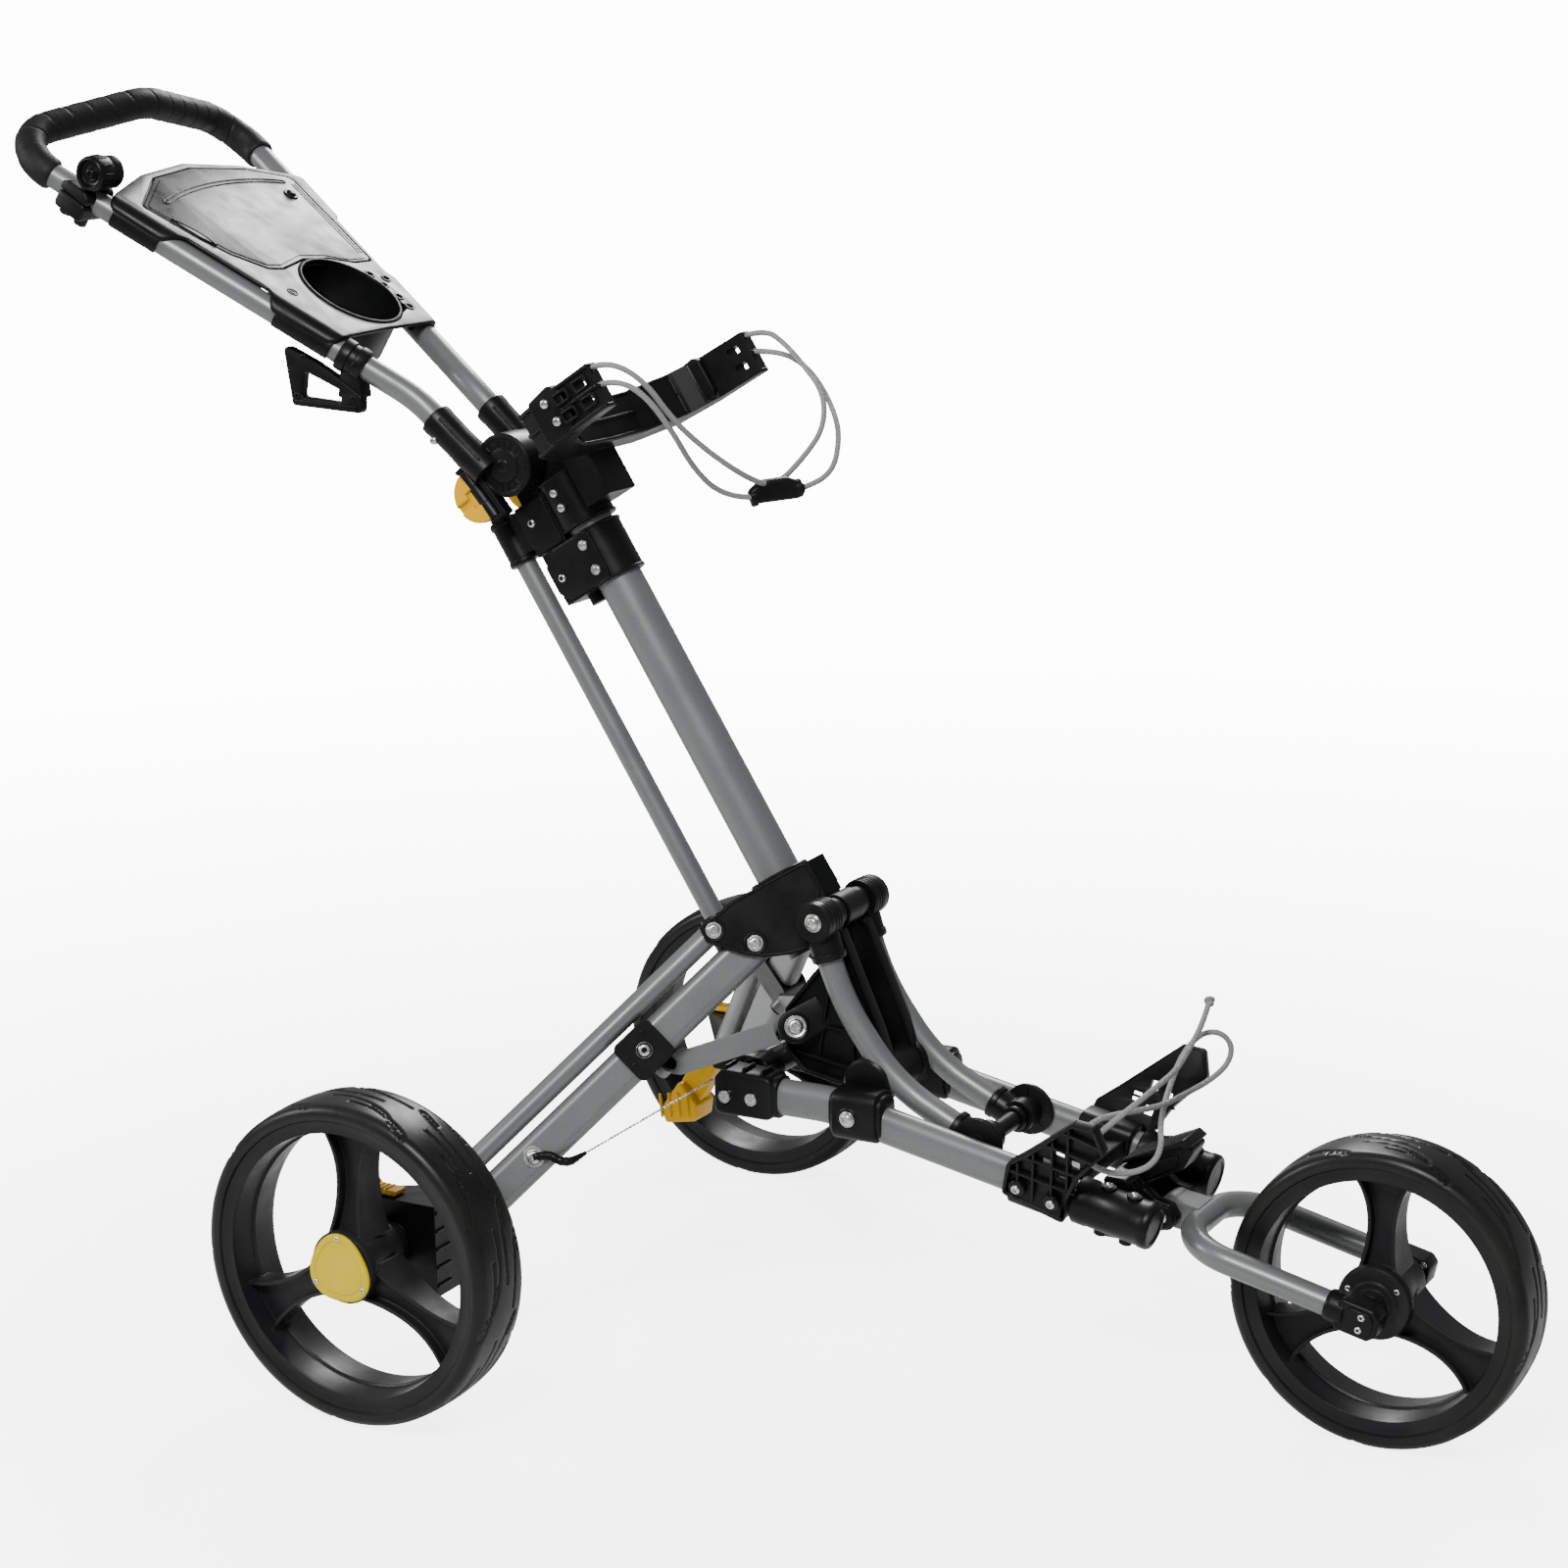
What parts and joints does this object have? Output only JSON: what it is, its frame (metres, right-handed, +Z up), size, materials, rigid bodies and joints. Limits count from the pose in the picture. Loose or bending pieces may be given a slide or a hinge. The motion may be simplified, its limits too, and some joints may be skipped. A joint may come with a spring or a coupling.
{
  "type": "golf push trolley",
  "caption": "Folding three-wheeled golf push trolley with a leaning mast, bag cradles, cord straps, console and foam wheels.",
  "frame": {"origin": "on the ground under the middle of the whole trolley", "axes": "+X towards the front wheel, +Y to the left, +Z up"},
  "size_m": [1.3702, 0.7518, 1.0742],
  "materials": {
    "grey_paint": "satin",
    "black_plastic": "satin",
    "lid_gloss": "semi-gloss",
    "rim_plastic": "semi-gloss",
    "tyre_foam": "smooth foam",
    "grip_wrap": "wrapped",
    "yellow_plastic": "satin",
    "zinc_steel": "bright zinc",
    "cord_grey": "braided elastic"
  },
  "bodies": {
    "frame": {"lower_casting": "black_plastic", "side_tube_left": "grey_paint", "side_tube_right": "grey_paint", "rear_cross_member": "black_plastic", "curved_tubes": "grey_paint", "hinge_knuckles": "black_plastic", "hinge_shaft": "zinc_steel", "stay_foot": "black_plastic", "front_cross_casting": "black_plastic", "lower_bag_bracket": "black_plastic", "lower_cord": "cord_grey", "frame_fasteners": "zinc_steel", "brake_cable_left": "zinc_steel", "brake_cable_right": "zinc_steel"},
    "mast": {"mast_tube": "grey_paint", "mast_bracket": "black_plastic", "stay_rod": "grey_paint", "lower_collar": "black_plastic", "upper_collar": "black_plastic", "upper_bag_bracket": "black_plastic", "mast_fasteners": "zinc_steel", "upper_cord_outer": "cord_grey", "upper_cord_inner": "cord_grey", "cord_toggle": "black_plastic"},
    "handle": {"handle_tube": "grey_paint", "handle_grip": "grip_wrap", "handle_sockets": "black_plastic", "console_tray": "black_plastic", "umbrella_clamp": "black_plastic", "drink_bracket": "black_plastic"},
    "console_lid": {"console_lid": "lid_gloss"},
    "umbrella_cup": {"umbrella_cup": "black_plastic"},
    "cam_left": {"cam_lever_left": "yellow_plastic"},
    "cam_right": {"cam_lever_right": "yellow_plastic"},
    "fork": {"front_fork": "grey_paint", "fork_tips": "black_plastic", "front_axle": "zinc_steel"},
    "front_wheel": {"front_rim": "rim_plastic", "front_tyre": "tyre_foam"},
    "brake_pedal": {"brake_pedal": "yellow_plastic"},
    "leg_left": {"leg_tube_left": "grey_paint", "leg_clamp_left": "black_plastic"},
    "link_left": {"leg_link_left": "grey_paint"},
    "strut_left": {"strut_left": "grey_paint"},
    "housing_left": {"axle_housing_left": "black_plastic", "rear_axle_left": "zinc_steel"},
    "release_left": {"release_lever_left": "yellow_plastic"},
    "rear_wheel_left": {"rear_rim_left": "rim_plastic", "rear_tyre_left": "tyre_foam", "hub_cap_left": "yellow_plastic"},
    "leg_right": {"leg_tube_right": "grey_paint", "leg_clamp_right": "black_plastic"},
    "link_right": {"leg_link_right": "grey_paint"},
    "strut_right": {"strut_right": "grey_paint"},
    "housing_right": {"axle_housing_right": "black_plastic", "rear_axle_right": "zinc_steel"},
    "release_right": {"release_lever_right": "yellow_plastic"},
    "rear_wheel_right": {"rear_rim_right": "rim_plastic", "rear_tyre_right": "tyre_foam", "hub_cap_right": "yellow_plastic"}
  },
  "joints": [
    {"name": "mast_fold", "type": "hinge", "parent": "frame", "child": "mast", "pos_m": [0.0563, 0, 0.3873], "axis": [0, 1, 0], "range_deg": [0, 70]},
    {"name": "handle_fold", "type": "hinge", "parent": "mast", "child": "handle", "pos_m": [-0.25049, 0, 0.75701], "axis": [0, -1, 0], "range_deg": [0, 120]},
    {"name": "lid_open", "type": "hinge", "parent": "handle", "child": "console_lid", "pos_m": [-0.52594, 0.104, 0.94989], "axis": [-0.8231, 0.2259, 0.5211], "range_deg": [0, 100]},
    {"name": "umbrella_swivel", "type": "hinge", "parent": "handle", "child": "umbrella_cup", "pos_m": [-0.59388, -0.147, 1.00711], "axis": [0, 1, 0], "range_deg": [-60, 60]},
    {"name": "fork_fold", "type": "hinge", "parent": "frame", "child": "fork", "pos_m": [0.366, 0, 0.168], "axis": [0, 1, 0], "range_deg": [0, 100]},
    {"name": "front_spin", "type": "hinge", "parent": "fork", "child": "front_wheel", "pos_m": [0.551, 0, 0.127], "axis": [0, 1, 0], "continuous": true},
    {"name": "brake_press", "type": "hinge", "parent": "frame", "child": "brake_pedal", "pos_m": [-0.008, -0.031, 0.24], "axis": [0, -1, 0], "range_deg": [0, 12], "stiffness_Nm_per_rad": 1.5},
    {"name": "leg_fold_right", "type": "hinge", "parent": "mast", "child": "leg_right", "pos_m": [-0.0055, -0.04546, 0.35931], "axis": [0.5015, -0.8075, 0.3106], "range_deg": [0, 63]},
    {"name": "link_fold_right", "type": "hinge", "parent": "mast", "child": "link_right", "pos_m": [-0.03732, -0.06085, 0.37066], "axis": [0.5015, -0.8075, 0.3106], "range_deg": [0, 63]},
    {"name": "housing_level_right", "type": "hinge", "parent": "leg_right", "child": "housing_right", "pos_m": [-0.20298, -0.2619, 0.11545], "axis": [0.5015, -0.8075, 0.3106], "range_deg": [-63, 0]},
    {"name": "strut_swing_right", "type": "hinge", "parent": "leg_right", "child": "strut_right", "pos_m": [-0.06417, -0.10251, 0.2558], "axis": [-0.6773, 0.1654, -0.7168], "range_deg": [0, 64.72]},
    {"name": "rear_spin_right", "type": "hinge", "parent": "housing_right", "child": "rear_wheel_right", "pos_m": [-0.215, -0.3395, 0.14], "axis": [0, 1, 0], "continuous": true},
    {"name": "wheel_release_right", "type": "hinge", "parent": "housing_right", "child": "release_right", "pos_m": [-0.214, -0.281, 0.1792], "axis": [0, 1, 0], "range_deg": [0, 30], "stiffness_Nm_per_rad": 0.2},
    {"name": "cam_right", "type": "hinge", "parent": "handle", "child": "cam_right", "pos_m": [-0.27583, -0.039, 0.72955], "axis": [-0.653, 0, 0.7573], "range_deg": [0, 55]},
    {"name": "leg_fold_left", "type": "hinge", "parent": "mast", "child": "leg_left", "pos_m": [-0.0055, 0.04546, 0.35931], "axis": [-0.5015, -0.8075, -0.3106], "range_deg": [0, 63]},
    {"name": "link_fold_left", "type": "hinge", "parent": "mast", "child": "link_left", "pos_m": [-0.03732, 0.06085, 0.37066], "axis": [-0.5015, -0.8075, -0.3106], "range_deg": [0, 63]},
    {"name": "housing_level_left", "type": "hinge", "parent": "leg_left", "child": "housing_left", "pos_m": [-0.20298, 0.2619, 0.11545], "axis": [-0.5015, -0.8075, -0.3106], "range_deg": [-63, 0]},
    {"name": "strut_swing_left", "type": "hinge", "parent": "leg_left", "child": "strut_left", "pos_m": [-0.06417, 0.10251, 0.2558], "axis": [0.6773, 0.1654, 0.7168], "range_deg": [0, 64.72]},
    {"name": "rear_spin_left", "type": "hinge", "parent": "housing_left", "child": "rear_wheel_left", "pos_m": [-0.215, 0.3395, 0.14], "axis": [0, 1, 0], "continuous": true},
    {"name": "wheel_release_left", "type": "hinge", "parent": "housing_left", "child": "release_left", "pos_m": [-0.214, 0.281, 0.1792], "axis": [0, 1, 0], "range_deg": [0, 30], "stiffness_Nm_per_rad": 0.2},
    {"name": "cam_left", "type": "hinge", "parent": "handle", "child": "cam_left", "pos_m": [-0.27583, 0.039, 0.72955], "axis": [0.653, 0, -0.7573], "range_deg": [0, 55]}
  ],
  "couplings": [
    {"joint": "leg_fold_right", "follows": "mast_fold", "ratio": 0.9},
    {"joint": "link_fold_right", "follows": "mast_fold", "ratio": 0.9},
    {"joint": "housing_level_right", "follows": "mast_fold", "ratio": -0.9},
    {"joint": "strut_swing_right", "follows": "mast_fold", "ratio": 0.9246},
    {"joint": "leg_fold_left", "follows": "mast_fold", "ratio": 0.9},
    {"joint": "link_fold_left", "follows": "mast_fold", "ratio": 0.9},
    {"joint": "housing_level_left", "follows": "mast_fold", "ratio": -0.9},
    {"joint": "strut_swing_left", "follows": "mast_fold", "ratio": 0.9246}
  ]
}
